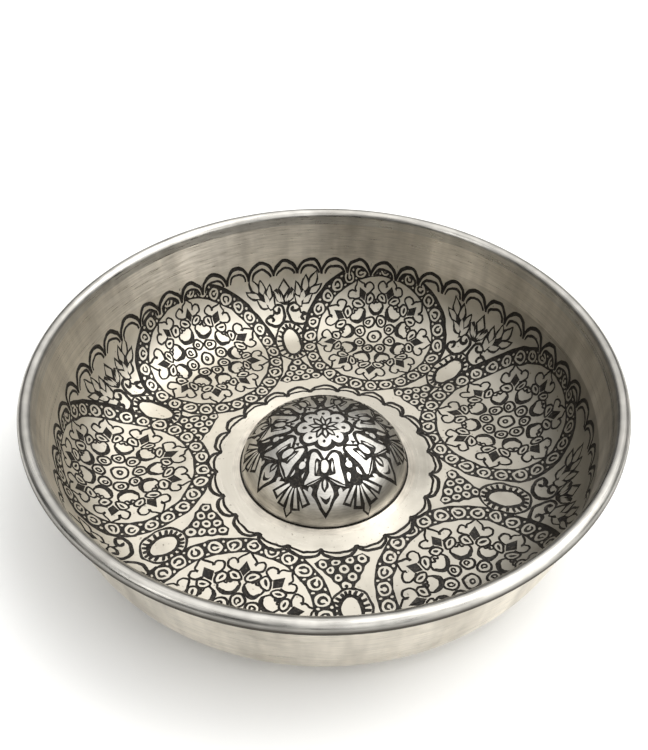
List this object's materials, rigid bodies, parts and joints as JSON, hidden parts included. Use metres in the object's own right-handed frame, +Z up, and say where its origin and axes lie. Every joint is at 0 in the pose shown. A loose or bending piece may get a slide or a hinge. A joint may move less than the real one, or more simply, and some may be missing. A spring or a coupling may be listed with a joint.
{
  "type": "hammam bowl",
  "caption": "Shallow round metal bath bowl with a wired, rolled rim, a steep wall, a turned floor and a hollow domed boss standing in its centre.",
  "frame": {"origin": "centre of the bowl at the table that its foot ring stands on", "axes": "+Z up along the bowl's axis; the bowl is round, so X and Y are level and free"},
  "size_m": [0.2, 0.2, 0.0482],
  "materials": {
    "plated_sheet": "silvered, satin, engraved and blackened on the inside",
    "wire": "drawn wire, closed in the rim",
    "plated_boss": "silvered, satin, engraved and blackened on top",
    "solder": "dull soft solder"
  },
  "bodies": {
    "root": {"bowl_shell": "plated_sheet", "rim_wire": "wire", "boss_dome": "plated_boss", "boss_solder": "solder"}
  },
  "joints": []
}
